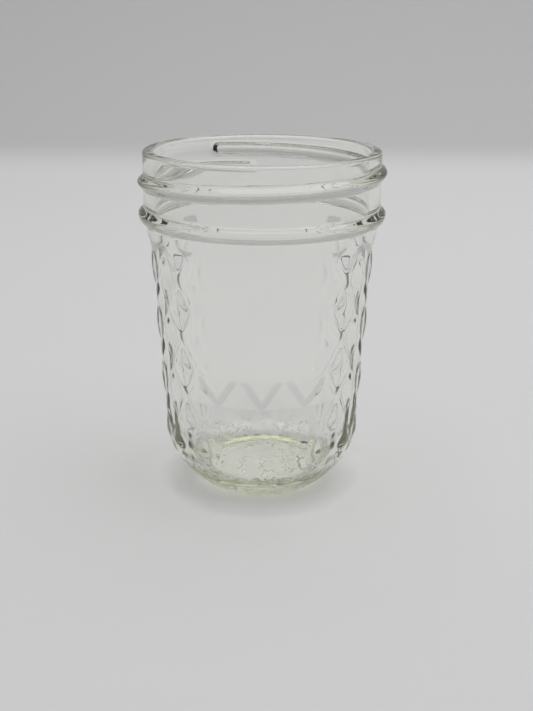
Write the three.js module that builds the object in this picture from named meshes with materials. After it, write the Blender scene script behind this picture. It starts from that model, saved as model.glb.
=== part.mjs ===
// Half-pint preserving jar of clear pressed glass, standing open, in millimetres with +Z up.
//
// The jar is one glass moulding, so it is one mesh. Its section is revolved about Z, and the
// relief of the mould is then laid on the outside as a radial height: the screw thread on the
// neck and the quilting on the body. The angle phi is 0 at the front (-Y) and grows towards +X.
import * as THREE from "three";

// Standard neck finish, from the sealing land down to the transfer bead
const HEIGHT = 97.5;
const RIM_RADIUS = 33.15;
const BORE_RADIUS = 30;
const LAND_INNER_RADIUS = 30.9;
const LAND_OUTER_RADIUS = 32.3;
const RIM_ROUNDING = 0.9;
const NECK_RADIUS = 33.1;
const BEAD_RADIUS = 34.6;
const BEAD_Z = 80.4;
const BEAD_UPPER_HALF_HEIGHT = 1.9;
const BEAD_LOWER_HALF_HEIGHT = 2.6;

// Screw thread: one right-handed ridge of a little over one turn
const THREAD_HEIGHT = 1.65;
const THREAD_HALF_WIDTH = 1.8;
const THREAD_PITCH = 5.7;
const THREAD_START_Z = 93.6;
const THREAD_START_PHI = THREE.MathUtils.degToRad(208.6);
const THREAD_SWEEP = THREE.MathUtils.degToRad(385);
const THREAD_RUNOUT = THREE.MathUtils.degToRad(9);
const THREAD_ROWS = 15;

// Body: a slightly tapered wall that flares at the shoulder, just under the bead
const WALL_FOOT = new THREE.Vector2(28.2, 15.5);
const WALL_TAPER = 0.062;
const SHOULDER_START_Z = 65;
const SHOULDER_END_Z = 77.375;
const SHOULDER_FLARE = 0.7;
const WALL_THICKNESS = 2.9;
const INNER_WALL_TOP_Z = 74;
const INNER_HEEL_TOP_Z = 24;
const INNER_HEEL_TUCK = 1.7;

// Base: a flat bearing ring round a pushed-up centre, with a thick floor that follows the push-up
const RING_INNER_RADIUS = 14.6;
const RING_OUTER_RADIUS = 17;
const PUSH_UP = 1.8;
const FLOOR_EDGE_Z = 5.6;
const FLOOR_DOME = 1.8;
const FLOOR_RADIUS = 15;
const HEEL_LOW_PULL = new THREE.Vector2(20.8, 2.6);
const HEEL_HIGH_PULL = new THREE.Vector2(27.1, 8.9);

// Quilting: pillows between two families of crossing bands, with a smooth panel at the front
// for a label, a smooth apron under its row of crossings, and a taller panel at the back
const DIAMONDS_ROUND = 15;
const DIAMOND_HEIGHT = 16.5;
const NODE_ROW_Z = 32;
const BAND_HALF_WIDTH = 1.1;
const QUILT_DEPTH = 0.65;
const QUILT_BOTTOM_Z = 11;
const QUILT_TOP_Z = 75;
const QUILT_FADE = 3.5;
const PANEL_HALF_ANGLE = THREE.MathUtils.degToRad(37);
const PANEL_TOP_Z = 76;
const FRONT_PANEL_BOTTOM_Z = 40;
const BACK_PANEL_BOTTOM_Z = 7;
const APRON_HALF_ANGLE = THREE.MathUtils.degToRad(33);
const APRON_TOP_Z = 31.6;

// Resolution: the columns and the wall rows both fall on the crossings of the bands
const COLUMNS_PER_DIAMOND = 4;
const ROWS_PER_DIAMOND = 4;
const COLUMNS = DIAMONDS_ROUND * COLUMNS_PER_DIAMOND;
const ROW_STEP = DIAMOND_HEIGHT / ROWS_PER_DIAMOND;
const DOME_SHARES = [0, 0.4, 0.75, 0.93];

const { clamp, smoothstep } = THREE.MathUtils;

// Radius of the body over its pillow tops at a height: a straight taper, and a flare that
// grows with the square of the height above the start of the shoulder.
function wallRadius(z) {
  const shoulder = Math.max(0, (z - SHOULDER_START_Z) / (SHOULDER_END_Z - SHOULDER_START_Z));
  return WALL_FOOT.x + WALL_TAPER * (z - WALL_FOOT.y) + SHOULDER_FLARE * shoulder ** 2;
}

// Points along a quarter of an ellipse about a centre, from one angle to another.
function arc(centre, radii, from, to, steps) {
  const curve = new THREE.EllipseCurve(centre.x, centre.y, radii.x, radii.y, from, to, to < from);
  return curve.getPoints(steps);
}

// Points of a shallow dome, from the axis to just short of its edge.
function domed(edgeRadius, edgeZ, rise) {
  return DOME_SHARES.map((share) => (
    new THREE.Vector2(share * edgeRadius, edgeZ + rise * (1 - share * share))
  ));
}

// Underside and heel: from the axis over the push-up and the bearing ring, then up the heel.
function baseProfile() {
  const dome = domed(RING_INNER_RADIUS, 0, PUSH_UP);
  const foot = new THREE.Vector2(RING_OUTER_RADIUS, 0);
  const heel = new THREE.CubicBezierCurve(foot, HEEL_LOW_PULL, HEEL_HIGH_PULL, WALL_FOOT);
  return [...dome, new THREE.Vector2(RING_INNER_RADIUS, 0), ...heel.getPoints(9)];
}

// Body wall: one row for each quarter of a diamond, from above the heel to under the bead.
function wallProfile() {
  const points = [];
  for (let z = WALL_FOOT.y + ROW_STEP; z <= SHOULDER_END_Z; z += ROW_STEP) {
    points.push(new THREE.Vector2(wallRadius(z), z));
  }
  return points;
}

// Transfer bead, neck and the rounded rim with its flat sealing land.
function finishProfile() {
  const beadDepth = BEAD_RADIUS - NECK_RADIUS;
  const beadCentre = new THREE.Vector2(NECK_RADIUS, BEAD_Z);
  const lowerRadii = new THREE.Vector2(beadDepth, BEAD_LOWER_HALF_HEIGHT);
  const upperRadii = new THREE.Vector2(beadDepth, BEAD_UPPER_HALF_HEIGHT);
  const neckFoot = BEAD_Z + BEAD_UPPER_HALF_HEIGHT;
  const neckTop = HEIGHT - RIM_ROUNDING;
  const neck = Array.from({ length: THREAD_ROWS }, (_, i) => {
    const share = (i + 1) / (THREAD_ROWS + 1);
    return new THREE.Vector2(NECK_RADIUS, neckFoot + (neckTop - neckFoot) * share);
  });
  const outerEdge = new THREE.Vector2(LAND_OUTER_RADIUS, neckTop);
  const outerRounding = new THREE.Vector2(RIM_RADIUS - LAND_OUTER_RADIUS, RIM_ROUNDING);
  const innerEdge = new THREE.Vector2(LAND_INNER_RADIUS, neckTop);
  const innerRounding = new THREE.Vector2(LAND_INNER_RADIUS - BORE_RADIUS, RIM_ROUNDING);
  return [
    ...arc(beadCentre, lowerRadii, -Math.PI / 2, 0, 4),
    ...arc(beadCentre, upperRadii, 0, Math.PI / 2, 4).slice(1),
    ...neck,
    ...arc(outerEdge, outerRounding, 0, Math.PI / 2, 3),
    ...arc(innerEdge, innerRounding, Math.PI / 2, Math.PI, 3),
  ];
}

// Inside: down the bore, along the body wall and round onto the floor.
function innerProfile() {
  const boreFoot = new THREE.Vector2(BORE_RADIUS, BEAD_Z);
  const rows = 4;
  const wall = Array.from({ length: rows + 1 }, (_, i) => {
    const z = INNER_WALL_TOP_Z + ((INNER_HEEL_TOP_Z - INNER_WALL_TOP_Z) * i) / rows;
    return new THREE.Vector2(wallRadius(z) - WALL_THICKNESS, z);
  });
  const heelTop = wall.at(-1);
  const pull = new THREE.Vector2(heelTop.x - INNER_HEEL_TUCK, FLOOR_EDGE_Z);
  const floorEdge = new THREE.Vector2(FLOOR_RADIUS, FLOOR_EDGE_Z);
  const heel = new THREE.QuadraticBezierCurve(heelTop, pull, floorEdge).getPoints(7);
  return [
    boreFoot,
    ...wall,
    ...heel.slice(1),
    ...domed(FLOOR_RADIUS, FLOOR_EDGE_Z, FLOOR_DOME).reverse(),
  ];
}

// Height of the thread ridge at a place on the neck: a rounded bump across the ridge, which
// sinks to nothing over a short run-out at each end.
function threadHeight(phi, z) {
  let height = 0;
  for (const turn of [-1, 0, 1]) {
    const run = THREAD_START_PHI - phi + turn * 2 * Math.PI;
    const across = (z - THREAD_START_Z + (run / (2 * Math.PI)) * THREAD_PITCH) / THREAD_HALF_WIDTH;
    const ends = smoothstep(run, 0, THREAD_RUNOUT)
      * smoothstep(THREAD_SWEEP - run, 0, THREAD_RUNOUT);
    if (Math.abs(across) < 1) {
      height = Math.max(height, THREAD_HEIGHT * ends * (1 - across * across));
    }
  }
  return height;
}

// Whether a place on the body lies on one of the two smooth panels or on the apron.
function onPanel(phi, z) {
  const onFront = Math.abs(phi) < PANEL_HALF_ANGLE && z > FRONT_PANEL_BOTTOM_Z;
  const onBack = Math.abs(phi) > Math.PI - PANEL_HALF_ANGLE && z > BACK_PANEL_BOTTOM_Z;
  const onApron = Math.abs(phi) < APRON_HALF_ANGLE && z < APRON_TOP_Z;
  return onApron || ((onFront || onBack) && z < PANEL_TOP_Z);
}

// Depth of the quilting below the tops of the pillows. Counted in diamonds round and up the
// jar, the bands are the lines where column + row or column - row is a whole number.
function quiltDepth(phi, z) {
  const column = (phi * DIAMONDS_ROUND) / (2 * Math.PI);
  const row = (z - NODE_ROW_Z) / DIAMOND_HEIGHT;
  const toWhole = (value) => Math.abs(value - Math.round(value));
  const width = (2 * Math.PI * wallRadius(z)) / DIAMONDS_ROUND;
  const acrossBands = (width * DIAMOND_HEIGHT) / Math.hypot(width, DIAMOND_HEIGHT);
  const distance = Math.min(toWhole(column + row), toWhole(column - row)) * acrossBands;
  const inPillow = clamp((distance - BAND_HALF_WIDTH) / (acrossBands / 2 - BAND_HALF_WIDTH), 0, 1);
  const groove = (1 - inPillow) ** 2;
  const aboveHeel = smoothstep(z, QUILT_BOTTOM_Z, QUILT_BOTTOM_Z + QUILT_FADE);
  const belowShoulder = smoothstep(QUILT_TOP_Z - z, 0, QUILT_FADE);
  return onPanel(phi, z) ? 0 : QUILT_DEPTH * groove * aboveHeel * belowShoulder;
}

// Turns the diagonal of every second square of the wall, in a chequer, so that the edges of the
// mesh run along both families of bands. The lathe writes two triangles for each square, whose
// corners are the near and far rows of one column and of the next.
function alignDiagonals(geometry, rows, firstWallRow, lastWallRow) {
  const index = geometry.getIndex();
  for (let column = 0; column < COLUMNS; column++) {
    for (let row = firstWallRow; row < lastWallRow; row++) {
      if ((column + row - firstWallRow) % 2 === 0) {
        const near = column * rows + row;
        const nearNext = near + rows;
        const square = (column * (rows - 1) + row) * 6;
        const corners = [near, nearNext, nearNext + 1, near, nearNext + 1, near + 1];
        corners.forEach((corner, k) => index.setX(square + k, corner));
      }
    }
  }
}

function jarGeometry() {
  const base = baseProfile();
  const wall = wallProfile();
  const outer = [...base, ...wall, ...finishProfile()];
  const profile = [...outer, ...innerProfile()];
  const geometry = new THREE.LatheGeometry(profile, COLUMNS);
  geometry.rotateX(Math.PI / 2);
  alignDiagonals(geometry, profile.length, base.length - 1, base.length + wall.length - 1);
  const position = geometry.getAttribute("position");
  for (let i = 0; i < position.count; i++) {
    const onOutside = i % profile.length < outer.length;
    const z = position.getZ(i);
    if (!onOutside || z < QUILT_BOTTOM_Z) {
      continue;
    }
    const column = Math.floor(i / profile.length) % COLUMNS;
    const turned = (column * 2 * Math.PI) / COLUMNS;
    const phi = turned > Math.PI ? turned - 2 * Math.PI : turned;
    const relief = z > BEAD_Z ? threadHeight(phi, z) : -quiltDepth(phi, z);
    const radius = Math.hypot(position.getX(i), position.getY(i)) + relief;
    position.setXYZ(i, radius * Math.sin(turned), -radius * Math.cos(turned), z);
  }
  geometry.computeVertexNormals();
  return geometry;
}

const clearGlass = new THREE.MeshStandardMaterial({
  name: "clear_glass",
  color: 0xe6ebe2,
  roughness: 0.03,
  metalness: 0,
  transparent: true,
  opacity: 0.35,
});

const jar = new THREE.Mesh(jarGeometry(), clearGlass);
jar.name = "glass_jar";

const group = new THREE.Group();
group.add(jar);

export default group;
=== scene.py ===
"""Half-pint preserving jar of clear pressed glass, standing open and empty on a pale sweep.

The jar is one skin of glass whose section is revolved about Z, with the relief of the mould laid
on it as a height. In every function phi is the angle round the jar, 0 at the front (-Y) and
growing towards +X, and lengths are in metres.
"""

import math

import bpy
import numpy as np
from bpy.props import FloatProperty, FloatVectorProperty, IntProperty, PointerProperty
from mathutils import Matrix, Vector


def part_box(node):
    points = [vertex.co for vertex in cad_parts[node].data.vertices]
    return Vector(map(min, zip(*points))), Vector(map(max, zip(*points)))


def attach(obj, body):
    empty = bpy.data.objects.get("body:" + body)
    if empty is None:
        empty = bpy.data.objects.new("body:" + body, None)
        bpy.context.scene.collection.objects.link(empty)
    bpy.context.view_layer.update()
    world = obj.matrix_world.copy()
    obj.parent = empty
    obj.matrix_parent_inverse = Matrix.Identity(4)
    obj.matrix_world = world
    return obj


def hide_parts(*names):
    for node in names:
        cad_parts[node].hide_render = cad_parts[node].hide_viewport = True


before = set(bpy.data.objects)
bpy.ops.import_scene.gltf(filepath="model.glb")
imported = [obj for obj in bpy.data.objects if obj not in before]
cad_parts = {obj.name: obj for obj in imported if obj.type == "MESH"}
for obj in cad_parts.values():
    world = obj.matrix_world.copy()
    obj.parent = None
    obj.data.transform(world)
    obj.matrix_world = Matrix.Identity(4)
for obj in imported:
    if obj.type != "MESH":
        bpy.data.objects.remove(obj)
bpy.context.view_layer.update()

bl_info = {
    "name": "Preserving jar",
    "version": (1, 0, 0),
    "blender": (4, 5, 0),
    "location": "3D View > Sidebar > Jar",
    "description": "Builds a quilted glass jar, its studio and its camera round the packed frame",
    "category": "Object",
}

JAR_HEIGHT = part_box("glass_jar")[1].z
MM = 0.001

# Resolution of the jar's skin: columns round it, and points along the stretches of its section
COLUMNS = 330
HEEL_POINTS = 34
WALL_POINTS = 122
COVE_POINTS = 7
BEAD_LOW_POINTS = 9
BEAD_HIGH_POINTS = 11
NECK_POINTS = 40
RIM_POINTS = 7
INNER_RIM_POINTS = 6
BORE_POINTS = 6
INNER_WALL_POINTS = 24
INNER_SHOULDER_POINTS = 7
INNER_HEEL_POINTS = 22
HOLLOW_SHARES = (0.0, 0.15, 0.3, 0.45, 0.6, 0.72, 0.82, 0.9, 0.96)
FLOOR_SHARES = (0.95, 0.85, 0.7, 0.55, 0.4, 0.25, 0.12, 0.0)

# Shape of the curves of the section
HEEL_LOW_PULL = (20.8 * MM, 2.6 * MM)
HEEL_HIGH_PULL = (27.1 * MM, 8.9 * MM)
RING_EDGE = 0.2 * MM
WALL_END_GAP = 0.4 * MM
COVE_LOW_PULL = (0.1 * MM, 0.4 * MM)
COVE_HIGH_PULL = (0.7 * MM, 0.3 * MM)
INNER_SHOULDER_PULL = 2.0 * MM
INNER_SHOULDER_LEAN = 0.1 * MM
FLARE_LIMIT = 1.3
THREAD_POWER = 1.4

# Edges of the front's details: the row of strokes, the line below it and the smooth apron
ROW_FULL_ANGLE = math.radians(34.0)
ROW_END_ANGLE = math.radians(40.0)
ROW_FOOT_EDGE = 0.2 * MM
ROW_TOP_FADE = 4.0 * MM
STROKE_EDGE = 0.1 * MM
CUT_EDGE = (-0.15 * MM, 0.25 * MM)
LINE_EDGE = 0.15 * MM
LINE_FADE_ANGLE = math.radians(4.0)
DULL_ZONE_HEIGHT = 9.0 * MM
DULL_ZONE_SHARE = 0.6
APRON_EDGE = 0.5 * MM
APRON_FADE_ANGLE = math.radians(7.0)

# Where the base and the heel are stippled
STIPPLE_INNER_RADII = (5.0 * MM, 7.0 * MM)
STIPPLE_OUTER_RADIUS = 26.5 * MM
STIPPLE_OUTER_FADE = 2.0 * MM
STIPPLE_TOP_Z = 11.0 * MM
KNURL_INNER_RADII = (14.5 * MM, 16.0 * MM)
KNURL_CUT = (0.3, 1.2)

# Knurled dashes: fine ones and a coarse share, counted round the base, with their lean and
# their wandering for each millimetre outwards or turn round
FINE_KNURLS = 52.0
FINE_WANDER = 2.6
FINE_WANDER_RATE = 1.9
FINE_LEAN = 0.8
COARSE_KNURLS = 31.0
COARSE_SHARE = 0.8
COARSE_LEAN = 2.3
COARSE_WANDER = 1.7
COARSE_WANDERS_ROUND = 7.0

# The inside's waves, each as its count round the jar, its rise, its phase and its share, and
# where they fade out
INNER_WAVES = (
    (3.0, 1.0, 0.7, 1.0), (5.0, -1.7, 2.1, 0.7), (8.0, 2.3, 4.0, 0.5), (2.0, 3.1, 0.0, 0.4))
WAVE_TOP_FADE = 6.0 * MM
WAVE_INNER_RADII = (2.0 * MM, 14.0 * MM)

# Noise in the glass: scales for each metre, and the levels between which a noise is cut
LONG_WAVE_SCALE = 55.0
SHORT_WAVE_SCALE = 240.0
SHORT_WAVE_SHARE = 0.25
CLUSTER_SCALE = 150.0
CLUSTER_CUT = (0.42, 0.52)
DASH_SCALE = 700.0
DASH_CUT = (0.54, 0.6)
FILM_SCALE = 120.0
FILM_ROUGHNESS = 0.02

# Paper and stage
# Heights over which the paper turns from the floor's colour to the backdrop's grey, which is painted
# shade
PAPER_TURN = (0.001, 0.02)
PAPER_ROUGHNESS = 0.9
PAPER_SPECULAR = 0.2
BLACK = (0.01, 0.01, 0.01)
FLOOR_REACH = 4.5
FLOOR_MIDDLE = 1.0
BACKDROP_TOP = 1.8
SWEEP_COLUMNS = 7
SWEEP_TURN_POINTS = 25
SOFTBOX_PLACE = (0.2, 0.05)
FLAG_RISE = 0.2
LENS_START = 0.01
THROUGH_BOUNCES = 32
MIRROR_BOUNCES = 16


def length(name, description, default_mm):
    """A length property, whose default is given in millimetres."""
    return FloatProperty(
        name=name, description=description, default=default_mm * MM,
        min=0.0, unit="LENGTH", subtype="DISTANCE", precision=5)


def angle(name, description, default_degrees):
    """An angle property, whose default is given in degrees."""
    return FloatProperty(
        name=name, description=description, default=math.radians(default_degrees),
        unit="ROTATION", subtype="ANGLE")


class NeckSizes(bpy.types.PropertyGroup):
    """Rim, screw thread and transfer bead."""

    height: FloatProperty(
        name="Height", description="Overall height, up to the sealing land",
        default=JAR_HEIGHT, unit="LENGTH", subtype="DISTANCE")
    rim_radius: length("Rim radius", "Radius of the rim's outside", 33.15)
    bore_radius: length("Bore radius", "Radius inside the neck", 30.0)
    land_inner_radius: length("Land inner radius", "Inner edge of the flat sealing land", 30.9)
    land_outer_radius: length("Land outer radius", "Outer edge of the flat sealing land", 32.3)
    rim_rounding: length("Rim rounding", "Height of the rim's rounded edges", 0.9)
    neck_radius: length("Neck radius", "Radius of the neck between the ridges", 33.1)
    bead_radius: length("Bead radius", "Radius of the bead under the thread", 34.6)
    bead_z: length("Bead height", "Height of the bead's widest part", 80.3)
    bead_above: length("Bead above", "Height of the bead above its widest part", 1.9)
    bead_below: length("Bead below", "Height of the bead below its widest part", 2.5)
    thread_height: length("Thread height", "Height of the ridge above the neck", 1.56)
    thread_half_width: length("Thread half width", "Half of the ridge's width at its foot", 2.0)
    thread_pitch: length("Thread pitch", "Fall of the ridge in one turn", 5.7)
    thread_start_z: length("Thread start", "Height of the ridge's upper end", 93.6)
    thread_start_phi: angle("Thread start angle", "Place of the upper end round the jar", 208.6)
    thread_sweep: angle("Thread sweep", "Angle from the upper end to the lower end", 385.0)
    thread_runout: angle("Thread run-out", "Angle over which each end rises", 4.5)


class BodySizes(bpy.types.PropertyGroup):
    """Wall, shoulder, heel and base."""

    wall_foot_radius: length("Wall foot radius", "Radius where the heel ends", 28.2)
    wall_foot_z: length("Wall foot height", "Height where the heel ends", 15.5)
    wall_taper: FloatProperty(
        name="Wall taper", description="Growth of the radius for each metre of height",
        default=0.062)
    shoulder_start_z: length("Shoulder start", "Height where the wall starts to flare", 65.0)
    shoulder_end_z: length("Shoulder end", "Height where the wall meets the bead's step", 77.375)
    shoulder_flare: length("Shoulder flare", "Growth of the radius over the shoulder", 0.7)
    wall_thickness: length("Wall thickness", "Glass thickness from the pillow tops", 2.9)
    inner_wall_top_z: length("Inner wall top", "Height where the inside narrows", 74.0)
    inner_heel_top_z: length("Inner heel top", "Height where the inner heel starts", 24.0)
    inner_heel_tuck: length("Inner heel tuck", "How far the inner heel pulls in", 1.7)
    inner_wave: length("Inner wave", "Unevenness of the inside, which no mould touches", 0.04)
    ring_inner_radius: length("Ring inner radius", "Inner edge of the bearing ring", 14.6)
    ring_outer_radius: length("Ring outer radius", "Outer edge of the bearing ring", 17.0)
    push_up: length("Push-up", "Height of the base's hollow", 1.8)
    floor_z: length("Floor height", "Height of the floor's edge inside", 5.6)
    floor_dome: length("Floor dome", "Rise of the floor's middle over its edge", 1.8)
    floor_radius: length("Floor radius", "Radius of the domed floor", 15.0)
    stipple_depth: length("Stipple depth", "Depth of the dashes knurled round the base", 0.12)


class QuiltSizes(bpy.types.PropertyGroup):
    """Pillows, bands and smooth panels of the body."""

    diamonds: IntProperty(name="Diamonds", description="Diamonds round the jar", default=15, min=3)
    pitch: length("Diamond height", "Height of one diamond", 16.5)
    node_z: length("Node height", "Height of one row of band crossings", 32.0)
    band_half_width: length("Band half width", "Half of the width of a sunk band", 1.1)
    depth: length("Quilt depth", "Depth of a band below the pillow tops", 0.65)
    bottom_z: length("Quilt bottom", "Height where the quilting starts to show", 11.0)
    top_z: length("Quilt top", "Height where the quilting ends", 75.0)
    fade: length("Quilt fade", "Height over which the quilting fades at either end", 3.5)
    panel_half_angle: angle("Panel half angle", "Half of the angle that a panel spans", 37.0)
    panel_top_z: length("Panel top", "Height of the panels' upper edge", 76.0)
    front_panel_bottom_z: length("Front panel bottom", "Lower edge of the front panel", 39.4)
    back_panel_bottom_z: length("Back panel bottom", "Lower edge of the back panel", 7.0)
    back_panel_half_angle: angle(
        "Back panel half angle", "Half of the angle that the back panel spans", 42.0)
    panel_corner: length("Panel corner", "Corner radius of the panels", 7.0)
    front_edge: length("Front panel edge", "Width over which the front panel's edge rises", 0.8)
    back_edge: length("Back panel edge", "Width over which the back panel's edge rises", 6.0)
    stroke_half_width: length("Stroke half width", "Half of the width of a stroke", 0.95)
    inner_lean: FloatProperty(
        name="Inner lean", description="How far the strokes lean for each metre up", default=0.66)
    outer_lean: FloatProperty(
        name="Outer lean", description="How far the two outer strokes lean for each metre up",
        default=0.8)
    stroke_depth: length("Stroke depth", "Depth of the strokes under the front panel", 0.12)
    line_z: length("Front line", "Height of the step across the front", 31.6)
    line_half_angle: angle("Front line half angle", "Half of the angle that the step spans", 47.0)
    line_depth: length("Front line depth", "Depth of the step", 0.14)
    apron_half_angle: angle(
        "Apron half angle", "Half of the angle that stays smooth below the front line", 33.0)


class GlassFinish(bpy.types.PropertyGroup):
    """Optical finish of the glass."""

    tint: FloatVectorProperty(
        name="Tint", description="Colour that thick glass takes on",
        subtype="COLOR", size=3, min=0.0, max=1.0, default=(0.56, 0.6, 0.22))
    tint_density: FloatProperty(
        name="Tint density", description="How fast the glass takes on its tint, for each metre",
        default=13.0, min=0.0)
    index: FloatProperty(
        name="Refractive index", description="Refractive index of the glass", default=1.5)
    frost: FloatProperty(
        name="Frost", description="Roughness of the strokes under the front panel", default=0.25)
    frost_colour: FloatVectorProperty(
        name="Frost colour", description="Colour of the strokes under the front panel",
        subtype="COLOR", size=3, min=0.0, max=1.0, default=(0.8, 0.79, 0.82))
    grain: FloatProperty(
        name="Grain", description="Height of the stippled grain, in heights of the waves",
        default=14.0)
    wave_height: length("Wave height", "Height of the faint waves of the moulded skin", 0.02)


class StudioSettings(bpy.types.PropertyGroup):
    """Floor, lights and camera."""

    floor_colour: FloatVectorProperty(
        name="Floor colour", description="Colour of the paper sweep",
        subtype="COLOR", size=3, min=0.0, max=1.0, default=(0.8, 0.8, 0.8))
    # The backdrop's grey is painted shade: the paper is greyer where it turns up behind the jar,
    # where less light falls
    backdrop_painted_shade: FloatVectorProperty(
        name="Backdrop colour", description="Colour of the sheet behind the floor",
        subtype="COLOR", size=3, min=0.0, max=1.0, default=(0.61, 0.61, 0.61))
    sweep_start: length("Sweep start", "Distance behind the jar where the paper turns up", 520)
    sweep_radius: length("Sweep radius", "Radius of the paper's turn", 300)
    softbox_side: length("Softbox side", "Side of the square light overhead", 1500)
    softbox_height: length("Softbox height", "Height of the light overhead", 1200)
    softbox_power: FloatProperty(
        name="Softbox power", description="Power of the light overhead, in watts", default=10.4)
    room_grey: FloatProperty(
        name="Room light", description="Brightness of the room all round", default=0.34)
    flag_distance: length("Flag distance", "Distance of the dark card behind the camera", 700)
    flag_side: length("Flag side", "Side of the square dark card", 1100)
    camera_distance: length("Camera distance", "Distance of the camera in front", 300.0)
    camera_height: length("Camera height", "Height of the camera", 137.82)
    camera_pitch: FloatProperty(
        name="Camera pitch", description="Angle by which the camera looks down",
        default=0.3237, unit="ROTATION", subtype="ANGLE")
    camera_yaw: FloatProperty(
        name="Camera yaw", description="Angle by which the camera looks to the right",
        default=0.0047, unit="ROTATION", subtype="ANGLE")
    camera_roll: FloatProperty(
        name="Camera roll", description="Angle by which the camera leans",
        default=0.0044, unit="ROTATION", subtype="ANGLE")
    camera_lens: FloatProperty(
        name="Camera lens", description="Focal length in millimetres", default=54.46)


# Surfaces

def smooth_between(x, low, high):
    """0 up to low and 1 from high, with the S-curve 3t^2 - 2t^3 of the share t between them."""
    t = np.clip((x - low) / (high - low), 0.0, 1.0)
    return t * t * (3.0 - 2.0 * t)


def bezier(points, count):
    """count points along a Bezier curve: the sum of each control point times its Bernstein
    polynomial in t, for t from 0 to 1."""
    t = np.linspace(0.0, 1.0, count)[:, None]
    order = len(points) - 1
    return sum(
        math.comb(order, k) * t ** k * (1.0 - t) ** (order - k) * np.array(point)
        for k, point in enumerate(points))


def ellipse(centre, radii, start, end, count):
    """count points along an arc of an ellipse: centre plus radii times the cosine and sine."""
    turn = np.linspace(start, end, count)
    return np.stack(
        [centre[0] + radii[0] * np.cos(turn), centre[1] + radii[1] * np.sin(turn)], axis=1)


def closed_grid(values):
    """The values of a grid in the order of a closed surface's vertices: its rows between the
    first and the last, and then one value for each of those two."""
    width = values.shape[-1] if values.ndim == 3 else 1
    values = values.reshape(values.shape[0], values.shape[1], width)
    return np.vstack([values[1:-1].reshape(-1, width), values[:1, 0], values[-1:, 0]])


def surface_mesh(name, points, closed_round):
    """A mesh over a grid of points, rows by columns. Where closed_round is set, the last column
    joins the first, and the first and last row are each one point that closes the surface."""
    rows, columns = points.shape[:2]
    if closed_round:
        vertices = closed_grid(points)
        rows -= 2
    else:
        vertices = points.reshape(-1, 3)
    row, column = np.meshgrid(
        np.arange(rows - 1), np.arange(columns if closed_round else columns - 1), indexing="ij")
    following = (column + 1) % columns
    quads = np.stack([
        row * columns + column, row * columns + following,
        (row + 1) * columns + following, (row + 1) * columns + column], axis=-1).reshape(-1, 4)
    faces = quads.tolist()
    if closed_round:
        first = np.arange(columns)
        following = (first + 1) % columns
        last = (rows - 1) * columns
        bottom = np.full(columns, rows * columns)
        faces += np.stack([bottom, following, first], axis=1).tolist()
        faces += np.stack([last + first, last + following, bottom + 1], axis=1).tolist()
    mesh = bpy.data.meshes.new(name)
    mesh.from_pydata(vertices.tolist(), [], faces)
    mesh.polygons.foreach_set("use_smooth", np.ones(len(mesh.polygons), dtype=bool))
    mesh.update()
    piece = bpy.data.objects.new(name, mesh)
    bpy.context.scene.collection.objects.link(piece)
    return piece


# Glass jar

def wall_radius(body, z):
    """Radius over the pillow tops: a straight taper, and over the shoulder a flare that grows
    with the square of the height."""
    shoulder = np.maximum(
        0.0, (z - body.shoulder_start_z) / (body.shoulder_end_z - body.shoulder_start_z))
    straight = body.wall_foot_radius + body.wall_taper * (z - body.wall_foot_z)
    return straight + body.shoulder_flare * np.minimum(shoulder, FLARE_LIMIT) ** 2


def outer_section(neck, body):
    """Radius and height of the outside, from the axis under the base to the sealing land: a
    parabola for the push-up, the bearing ring, a cubic curve for the heel, the tapered wall, a
    quarter ellipse up to the bead's widest part and the square of a parabola above it, the
    straight neck and a quarter ellipse at the rim."""
    share = np.array(HOLLOW_SHARES)
    hollow = np.stack([share * body.ring_inner_radius, body.push_up * (1.0 - share ** 2)], axis=1)
    ring = np.array([[body.ring_inner_radius + RING_EDGE, 0.0], [body.ring_outer_radius, 0.0]])
    heel = bezier([
        (body.ring_outer_radius, 0.0), HEEL_LOW_PULL, HEEL_HIGH_PULL,
        (body.wall_foot_radius, body.wall_foot_z)], HEEL_POINTS)[1:]
    z = np.linspace(body.wall_foot_z, body.shoulder_end_z - WALL_END_GAP, WALL_POINTS)[1:]
    wall = np.stack([wall_radius(body, z), z], axis=1)
    bead_foot = (neck.neck_radius, neck.bead_z - neck.bead_below)
    cove = bezier([
        wall[-1], (wall[-1, 0] + COVE_LOW_PULL[0], wall[-1, 1] + COVE_LOW_PULL[1]),
        (bead_foot[0] - COVE_HIGH_PULL[0], bead_foot[1] - COVE_HIGH_PULL[1]),
        bead_foot], COVE_POINTS)[1:-1]
    bead_depth = neck.bead_radius - neck.neck_radius
    bead_low = ellipse((neck.neck_radius, neck.bead_z), (bead_depth, neck.bead_below),
                       -math.pi / 2, 0.0, BEAD_LOW_POINTS)
    share = np.linspace(0.0, 1.0, BEAD_HIGH_POINTS)[1:]
    bead_high = np.stack([neck.neck_radius + bead_depth * (1.0 - share ** 2) ** 2,
                          neck.bead_z + neck.bead_above * share], axis=1)
    top = neck.height - neck.rim_rounding
    z = np.linspace(neck.bead_z + neck.bead_above, top, NECK_POINTS)[1:-1]
    straight = np.stack([np.full(len(z), neck.neck_radius), z], axis=1)
    rim = ellipse((neck.land_outer_radius, top),
                  (neck.rim_radius - neck.land_outer_radius, neck.rim_rounding),
                  0.0, math.pi / 2, RIM_POINTS)
    return np.vstack([hollow, ring, heel, wall, cove, bead_low, bead_high, straight, rim])


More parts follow.
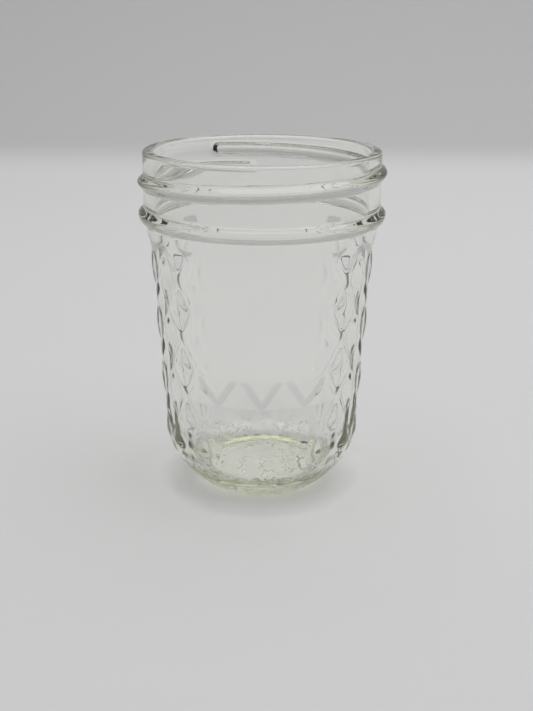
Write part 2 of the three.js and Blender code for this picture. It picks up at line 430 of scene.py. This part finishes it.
def inner_section(neck, body):
    """Radius and height of the inside, from the sealing land to the axis on the floor: a quarter
    ellipse at the rim, the bore, the wall at its thickness, a round heel, and a parabola for the
    domed floor."""
    top = neck.height - neck.rim_rounding
    rim = ellipse((neck.land_inner_radius, top),
                  (neck.land_inner_radius - neck.bore_radius, neck.rim_rounding),
                  math.pi / 2, math.pi, INNER_RIM_POINTS)
    z = np.linspace(top, neck.bead_z, BORE_POINTS)[1:-1]
    bore = np.stack([np.full(len(z), neck.bore_radius), z], axis=1)
    z = np.linspace(body.inner_wall_top_z, body.inner_heel_top_z, INNER_WALL_POINTS)
    wall = np.stack([wall_radius(body, z) - body.wall_thickness, z], axis=1)
    shoulder = bezier([
        (neck.bore_radius, neck.bead_z), (neck.bore_radius, neck.bead_z - INNER_SHOULDER_PULL),
        (wall[0, 0] + INNER_SHOULDER_LEAN, wall[0, 1] + INNER_SHOULDER_PULL),
        wall[0]], INNER_SHOULDER_POINTS)[:-1]
    heel = bezier([
        wall[-1], (wall[-1, 0] - body.inner_heel_tuck, body.floor_z),
        (body.floor_radius, body.floor_z)], INNER_HEEL_POINTS)[1:]
    share = np.array(FLOOR_SHARES)
    floor = np.stack([share * body.floor_radius,
                      body.floor_z + body.floor_dome * (1.0 - share ** 2)], axis=1)
    return np.vstack([rim, bore, shoulder, wall, heel, floor])


def thread_relief(neck, phi, z):
    """Height of the screw thread: across the ridge, 1 less the square of the distance from its
    middle in half widths, to a power that narrows its flanks, along a helix that falls by the
    pitch each turn. Each end rises in a straight line over the run-out."""
    height = np.zeros(np.broadcast(phi, z).shape)
    for turn in (-1, 0, 1):
        run = neck.thread_start_phi - phi + turn * 2.0 * math.pi
        middle = neck.thread_start_z - run / (2.0 * math.pi) * neck.thread_pitch
        across = np.abs(z - middle) / neck.thread_half_width
        ends = (np.clip(run / neck.thread_runout, 0.0, 1.0)
                * np.clip((neck.thread_sweep - run) / neck.thread_runout, 0.0, 1.0))
        bump = np.clip(1.0 - across ** 2, 0.0, 1.0) ** THREAD_POWER * ends
        height = np.maximum(height, neck.thread_height * bump)
    return height


def panel_share(quilt, turn, z, half_angle, bottom, radius, edge):
    """1 on a smooth panel and 0 off it: the panel is a rectangle with rounded corners, unrolled
    about its own middle, and it rises over the width of its edge."""
    half_width = radius * half_angle
    half_height = (quilt.panel_top_z - bottom) / 2.0
    across = np.abs(turn) * radius - (half_width - quilt.panel_corner)
    along = np.abs(z - bottom - half_height) - (half_height - quilt.panel_corner)
    outside = np.hypot(np.maximum(across, 0.0), np.maximum(along, 0.0))
    inside = np.minimum(np.maximum(across, along), 0.0)
    return smooth_between(quilt.panel_corner - outside - inside, -edge / 2.0, edge / 2.0)


def front_turn(phi):
    """The angle from the front, between minus and plus half a turn."""
    return (phi + math.pi) % (2.0 * math.pi) - math.pi


def quilt_distances(body, quilt, phi, z):
    """Distances from the middle of a diamond towards its rising and its falling bands, 1 at the
    edge of a band. Counted in diamonds round and up the jar, the two families of bands are the
    lines where column + row and column - row are whole."""
    column = phi * quilt.diamonds / (2.0 * math.pi)
    row = (z - quilt.node_z) / quilt.pitch
    radius = wall_radius(body, z)
    width = 2.0 * math.pi * radius / quilt.diamonds
    between = width * quilt.pitch / np.hypot(width, quilt.pitch)
    edge = 1.0 - 2.0 * quilt.band_half_width / between
    rising = 2.0 * np.abs((column + row) % 1.0 - 0.5)
    falling = 2.0 * np.abs((column - row) % 1.0 - 0.5)
    return rising / edge, falling / edge


def front_strokes(body, quilt, phi, z):
    """The row of V strokes under the front panel, as three shares from 0 to 1: how far a place
    lies in the row, on a stroke, and in the dull zone under the row. A stroke is the set of
    places within its half width of a line that leans out from the foot of its V, more on the two
    outer arms. The edge of the panel cuts the strokes off."""
    turn = front_turn(phi)
    top = quilt.front_panel_bottom_z
    row = (smooth_between(-np.abs(turn), -ROW_END_ANGLE, -ROW_FULL_ANGLE)
           * smooth_between(z, quilt.line_z - ROW_FOOT_EDGE, quilt.line_z + ROW_FOOT_EDGE)
           * smooth_between(top - z, -ROW_TOP_FADE, 0.0))
    spacing = 2.0 * math.pi / quilt.diamonds
    letter = np.clip(np.round(turn / spacing), -1.0, 1.0)
    aside = (turn - letter * spacing) * wall_radius(body, z)
    lean = np.where(aside * letter > 0.0, quilt.outer_lean, quilt.inner_lean)
    across = np.abs(np.abs(aside) - lean * (z - quilt.node_z)) / np.hypot(1.0, lean)
    on_stroke = smooth_between(quilt.stroke_half_width - across, -STROKE_EDGE, STROKE_EDGE)
    strokes = row * on_stroke * smooth_between(top - z, *CUT_EDGE)
    below_line = (smooth_between(quilt.line_half_angle - np.abs(turn), 0.0, LINE_FADE_ANGLE)
                  * smooth_between(quilt.line_z - z, -LINE_EDGE, LINE_EDGE)
                  * smooth_between(z, quilt.line_z - DULL_ZONE_HEIGHT, quilt.line_z))
    return row, strokes, DULL_ZONE_SHARE * below_line


def quilt_relief(body, quilt, phi, z):
    """Depth below the pillow tops. From the middle of each diamond the distance to its bands
    grows as the fifth root of the sum of fifth powers, which rounds its corners, and inside the
    bands' edges a pillow is a parabola of that distance. The strokes under the front panel are
    shallow and flat instead, and the panels and the apron below the front line are smooth."""
    rising, falling = quilt_distances(body, quilt, phi, z)
    radius = wall_radius(body, z)
    domed = np.minimum((rising ** 5 + falling ** 5) ** 0.2, 1.0) ** 2
    row, strokes, below_line = front_strokes(body, quilt, phi, z)
    turn = front_turn(phi)
    back_turn = np.abs(turn) - math.pi
    front = panel_share(quilt, turn, z, quilt.panel_half_angle, quilt.front_panel_bottom_z,
                        radius, quilt.front_edge)
    back = panel_share(quilt, back_turn, z, quilt.back_panel_half_angle,
                       quilt.back_panel_bottom_z, radius, quilt.back_edge)
    ends = (smooth_between(z, quilt.bottom_z, quilt.bottom_z + quilt.fade)
            * smooth_between(quilt.top_z - z, 0.0, quilt.fade))
    apron = (smooth_between(quilt.apron_half_angle - np.abs(turn), 0.0, APRON_FADE_ANGLE)
             * smooth_between(quilt.line_z - z, -APRON_EDGE, APRON_EDGE))
    groove = domed * (1.0 - row) * (1.0 - apron) * (1.0 - front) * (1.0 - back)
    return quilt.depth * groove * ends + quilt.stroke_depth * strokes + quilt.line_depth * below_line


def stipple_share(radius, z):
    """Share of the stippling at a place on the base or the heel, from 0 to 1."""
    return (smooth_between(radius, *STIPPLE_INNER_RADII)
            * smooth_between(STIPPLE_OUTER_RADIUS - radius, 0.0, STIPPLE_OUTER_FADE)
            * (z < STIPPLE_TOP_Z))


def stipple_relief(body, phi, radius, z):
    """Depth of the dashes knurled round the base: a wave round the base whose phase wanders
    outwards, plus a slower one that leans the other way, cut off between two levels."""
    outwards = radius / MM
    fine = np.cos(phi * FINE_KNURLS + FINE_WANDER * np.sin(outwards * FINE_WANDER_RATE)
                  + outwards * FINE_LEAN)
    coarse = np.cos(phi * COARSE_KNURLS - outwards * COARSE_LEAN
                    + COARSE_WANDER * np.sin(phi * COARSE_WANDERS_ROUND))
    waves = fine + COARSE_SHARE * coarse
    outer_part = smooth_between(radius, *KNURL_INNER_RADII) * stipple_share(radius, z)
    return body.stipple_depth * smooth_between(waves, *KNURL_CUT) * outer_part


def inner_waves(body, phi, z):
    """Unevenness of the inside: a sum of four long waves round and up the jar."""
    up = z / (body.shoulder_end_z * 0.5) * math.pi
    return body.inner_wave * sum(
        share * np.sin(count * phi + rise * up + phase)
        for count, rise, phase, share in INNER_WAVES)


def jar_skin(neck, body, quilt, columns):
    """Points of the jar's skin, rows by columns, and the shares of frosting and stippling. Each
    row is a circle of the section, moved outwards by the thread, inwards by the quilting and the
    knurling, or by the inside's waves. The strokes and the dull zone below them are frosted."""
    outer = outer_section(neck, body)
    inner = inner_section(neck, body)
    phi = np.arange(columns) * 2.0 * math.pi / columns
    phi = phi[None, :]

    radius, z = outer[:, :1], outer[:, 1:]
    on_neck = z > neck.bead_z
    relief = np.where(on_neck, thread_relief(neck, phi, z), -quilt_relief(body, quilt, phi, z))
    on_rim = z > neck.height - neck.rim_rounding
    outer_radius = radius + np.where(on_rim, 0.0, relief)
    outer_z = z + stipple_relief(body, phi, radius, z)
    _, strokes, below_line = front_strokes(body, quilt, phi, z)
    frost = np.where(on_neck, 0.0, np.maximum(strokes, below_line))
    stipple = np.broadcast_to(stipple_share(radius, z), frost.shape)

    radius, z = inner[:, :1], inner[:, 1:]
    uneven = (smooth_between(neck.bead_z - z, 0.0, WAVE_TOP_FADE)
              * smooth_between(radius, *WAVE_INNER_RADII))
    waves = inner_waves(body, phi, z) * uneven
    inner_radius = radius - waves * smooth_between(z, body.floor_z, body.inner_heel_top_z)
    inner_z = z + waves * smooth_between(-z, -body.inner_heel_top_z, -body.floor_z)

    radius = np.vstack([outer_radius, inner_radius])
    height = np.vstack([np.broadcast_to(outer_z, outer_radius.shape),
                        np.broadcast_to(inner_z, inner_radius.shape)])
    frost = np.vstack([frost, np.zeros(inner_radius.shape)])
    stipple = np.vstack([stipple, np.zeros(inner_radius.shape)])
    points = np.stack([radius * np.sin(phi), -radius * np.cos(phi), height], axis=-1)
    return points, {"frost": frost, "stipple": stipple}


# Materials

class Value:
    """A shader value: a socket whose sums and products add Math nodes."""

    def __init__(self, shader, socket):
        self.shader = shader
        self.socket = socket

    def math(self, operation, first, second):
        node = self.shader.node("ShaderNodeMath", {"operation": operation}, {0: first, 1: second})
        return Value(self.shader, node.outputs[0])

    def __add__(self, other):
        return self.math("ADD", self, other)

    def __mul__(self, other):
        return self.math("MULTIPLY", self, other)

    __rmul__ = __mul__


class Shader:
    """A material and its nodes."""

    def __init__(self, name):
        self.material = bpy.data.materials.new(name)
        self.material.use_nodes = True
        self.tree = self.material.node_tree
        self.tree.nodes.clear()

    def node(self, kind, settings=None, inputs=None):
        """Adds a node of a kind, sets its settings, then gives its inputs values or links."""
        node = self.tree.nodes.new(kind)
        for name, value in (settings or {}).items():
            setattr(node, name, value)
        for name, value in (inputs or {}).items():
            if isinstance(value, Value):
                self.tree.links.new(value.socket, node.inputs[name])
            elif isinstance(value, bpy.types.NodeSocket):
                self.tree.links.new(value, node.inputs[name])
            else:
                node.inputs[name].default_value = value
        return node

    def noise(self, position, scale, detail):
        node = self.node("ShaderNodeTexNoise", {}, {
            "Vector": position, "Scale": scale, "Detail": detail})
        return Value(self, node.outputs["Fac"])

    def step(self, value, low, high):
        node = self.node("ShaderNodeMapRange", {"interpolation_type": "SMOOTHSTEP"}, {
            "Value": value, "From Min": low, "From Max": high})
        return Value(self, node.outputs["Result"])

    def attribute(self, name):
        node = self.node("ShaderNodeAttribute", {"attribute_name": name})
        return Value(self, node.outputs["Fac"])


def clear_glass(finish):
    """Clear pressed glass: faint waves in its skin, sharp dashes where it is stippled, a dull skin
    where it is frosted, and a tint where it is thick."""
    shader = Shader("clear_glass")
    position = shader.node("ShaderNodeTexCoord").outputs["Object"]
    long_waves = shader.noise(position, LONG_WAVE_SCALE, 1.0)
    short_waves = shader.noise(position, SHORT_WAVE_SCALE, 2.0)
    stipple = shader.attribute("stipple")
    clusters = shader.step(shader.noise(position, CLUSTER_SCALE, 1.0), *CLUSTER_CUT)
    dashes = shader.step(shader.noise(position, DASH_SCALE, 1.0), *DASH_CUT)
    waves = long_waves + SHORT_WAVE_SHARE * short_waves
    skin = waves + finish.grain * stipple * clusters * dashes
    bump = shader.node("ShaderNodeBump", {}, {
        "Strength": 1.0, "Distance": finish.wave_height, "Height": skin})
    film = shader.noise(position, FILM_SCALE, 3.0)
    frost = shader.attribute("frost")
    tone = shader.node("ShaderNodeMix", {"data_type": "RGBA"}, {
        "Factor": frost, "A": (1.0, 1.0, 1.0, 1.0), "B": (*finish.frost_colour, 1.0)})
    principled = shader.node("ShaderNodeBsdfPrincipled", {}, {
        "Base Color": tone.outputs["Result"], "IOR": finish.index, "Transmission Weight": 1.0,
        "Roughness": FILM_ROUGHNESS * film + finish.frost * frost, "Normal": bump.outputs["Normal"]})
    depth = shader.node("ShaderNodeVolumeAbsorption", {}, {
        "Color": (*finish.tint, 1.0), "Density": finish.tint_density})
    shader.node("ShaderNodeOutputMaterial", {}, {
        "Surface": principled.outputs["BSDF"], "Volume": depth.outputs["Volume"]})
    return shader.material


def paper(name, low_colour, high_colour):
    """Matt paper, which turns from one colour to the other just above the floor. On the sweep the
    upper colour is painted shade: the paper is greyer where it turns up behind the jar.
    """
    shader = Shader(name)
    position = shader.node("ShaderNodeTexCoord").outputs["Object"]
    height = shader.node("ShaderNodeSeparateXYZ", {}, {0: position}).outputs["Z"]
    # Above the turn the paper takes the upper colour, which on the sweep is painted shade
    rise = shader.node("ShaderNodeMapRange", {"interpolation_type": "SMOOTHSTEP"}, {
        "Value": height, "From Min": PAPER_TURN[0], "From Max": PAPER_TURN[1]})
    tone = shader.node("ShaderNodeMix", {"data_type": "RGBA"}, {
        "Factor": rise.outputs["Result"], "A": (*low_colour, 1.0), "B": (*high_colour, 1.0)})
    principled = shader.node("ShaderNodeBsdfPrincipled", {}, {
        "Base Color": tone.outputs["Result"], "Roughness": PAPER_ROUGHNESS,
        "Specular IOR Level": PAPER_SPECULAR})
    shader.node("ShaderNodeOutputMaterial", {}, {"Surface": principled.outputs["BSDF"]})
    return shader.material


# Operators

class JAR_OT_stage(bpy.types.Operator):
    """Makes the paper sweep, the soft light, the room light and the camera."""

    bl_idname = "jar.stage"
    bl_label = "Stage and camera"

    def execute(self, context):
        studio = context.scene.jar_studio
        self.make_camera(context.scene, studio)
        self.make_sweep(studio)
        self.make_lights(context.scene, studio)
        return {"FINISHED"}

    def make_camera(self, scene, studio):
        camera = bpy.data.cameras.new("camera")
        camera.lens = studio.camera_lens
        camera.clip_start = LENS_START
        holder = bpy.data.objects.new("camera", camera)
        pitch, yaw, roll = studio.camera_pitch, studio.camera_yaw, studio.camera_roll
        ahead = Vector((
            math.sin(yaw) * math.cos(pitch), math.cos(yaw) * math.cos(pitch), -math.sin(pitch)))
        level = Vector((math.cos(yaw), -math.sin(yaw), 0.0))
        above = level.cross(ahead)
        right = math.cos(roll) * level + math.sin(roll) * above
        up = math.cos(roll) * above - math.sin(roll) * level
        holder.matrix_world = Matrix.LocRotScale(
            Vector((0.0, -studio.camera_distance, studio.camera_height)),
            Matrix((right, up, -ahead)).transposed(), None)
        scene.collection.objects.link(holder)
        scene.camera = holder

    def make_sweep(self, studio):
        """Flat floor, a quarter circle that turns it up behind the jar, and an upright sheet."""
        near = np.array([[-FLOOR_REACH, 0.0], [-FLOOR_MIDDLE, 0.0], [studio.sweep_start, 0.0]])
        turn = ellipse((studio.sweep_start, studio.sweep_radius),
                       (studio.sweep_radius, studio.sweep_radius), -math.pi / 2, 0.0,
                       SWEEP_TURN_POINTS)[1:]
        top = np.array([[studio.sweep_start + studio.sweep_radius, BACKDROP_TOP]])
        section = np.vstack([near, turn, top])
        across = np.linspace(-FLOOR_REACH, FLOOR_REACH, SWEEP_COLUMNS)
        rows, columns = np.meshgrid(
            np.arange(len(section)), np.arange(SWEEP_COLUMNS), indexing="ij")
        points = np.stack([across[columns], section[rows, 0], section[rows, 1]], axis=-1)
        sweep = surface_mesh("paper_sweep", points, closed_round=False)
        # The paper turns to the backdrop's grey, a painted shade, just above the floor
        sweep.data.materials.append(
            paper("pale_paper", studio.floor_colour, studio.backdrop_painted_shade))

    def make_lights(self, scene, studio):
        softbox = bpy.data.lights.new("softbox", "AREA")
        softbox.shape = "SQUARE"
        softbox.size = studio.softbox_side
        softbox.energy = studio.softbox_power
        holder = bpy.data.objects.new("softbox", softbox)
        holder.location = (*SOFTBOX_PLACE, studio.softbox_height)
        scene.collection.objects.link(holder)
        side, below = studio.flag_side, studio.softbox_height * FLAG_RISE
        across = np.array([[-0.5, -0.5], [0.5, 0.5]]) * side
        up = np.array([[0.0, 1.0], [0.0, 1.0]]) * side + below
        flag = surface_mesh(
            "dark_flag", np.stack([across, np.full((2, 2), -studio.flag_distance), up], axis=-1),
            closed_round=False)
        flag.data.materials.append(paper("black_card", BLACK, BLACK))
        flag.visible_camera = False
        world = bpy.data.worlds.new("room")
        world.use_nodes = True
        background = world.node_tree.nodes["Background"]
        background.inputs["Color"].default_value = (1.0, 1.0, 1.0, 1.0)
        background.inputs["Strength"].default_value = studio.room_grey
        scene.world = world
        scene.view_settings.view_transform = "Standard"
        # Paper takes its light through the glass, so the glass isn't blurred for that light.
        scene.cycles.blur_glossy = 0.0
        scene.cycles.max_bounces = THROUGH_BOUNCES
        scene.cycles.transmission_bounces = THROUGH_BOUNCES
        scene.cycles.glossy_bounces = MIRROR_BOUNCES


class JAR_OT_glass(bpy.types.Operator):
    """Makes the glass jar's skin and gives it its glass."""

    bl_idname = "jar.glass"
    bl_label = "Glass jar"

    def execute(self, context):
        scene = context.scene
        points, shares = jar_skin(scene.jar_neck, scene.jar_body, scene.jar_quilt, COLUMNS)
        jar = surface_mesh("glass_skin", points, closed_round=True)
        for name, share in shares.items():
            attribute = jar.data.attributes.new(name, "FLOAT", "POINT")
            attribute.data.foreach_set("value", closed_grid(share).astype(np.float32).ravel())
        jar.data.materials.append(clear_glass(scene.jar_finish))
        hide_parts("glass_jar")
        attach(jar, "root")
        return {"FINISHED"}


class JAR_PT_panel(bpy.types.Panel):
    """Lists the operators and their settings."""

    bl_idname = "JAR_PT_panel"
    bl_label = "Preserving jar"
    bl_space_type = "VIEW_3D"
    bl_region_type = "UI"
    bl_category = "Jar"

    def draw(self, context):
        for operator in OPERATORS:
            self.layout.operator(operator.bl_idname)
        for name in GROUPS:
            box = self.layout.box()
            group = getattr(context.scene, name)
            for key in group.__annotations__:
                box.prop(group, key)


GROUPS = {
    "jar_neck": NeckSizes,
    "jar_body": BodySizes,
    "jar_quilt": QuiltSizes,
    "jar_finish": GlassFinish,
    "jar_studio": StudioSettings,
}
OPERATORS = (JAR_OT_stage, JAR_OT_glass)
CLASSES = (*GROUPS.values(), *OPERATORS, JAR_PT_panel)


def register():
    for cls in CLASSES:
        bpy.utils.register_class(cls)
    for name, group in GROUPS.items():
        setattr(bpy.types.Scene, name, PointerProperty(type=group))


def unregister():
    for name in GROUPS:
        delattr(bpy.types.Scene, name)
    for cls in reversed(CLASSES):
        bpy.utils.unregister_class(cls)


def main():
    register()
    bpy.ops.jar.stage()
    bpy.ops.jar.glass()


if __name__ == "__main__":
    main()
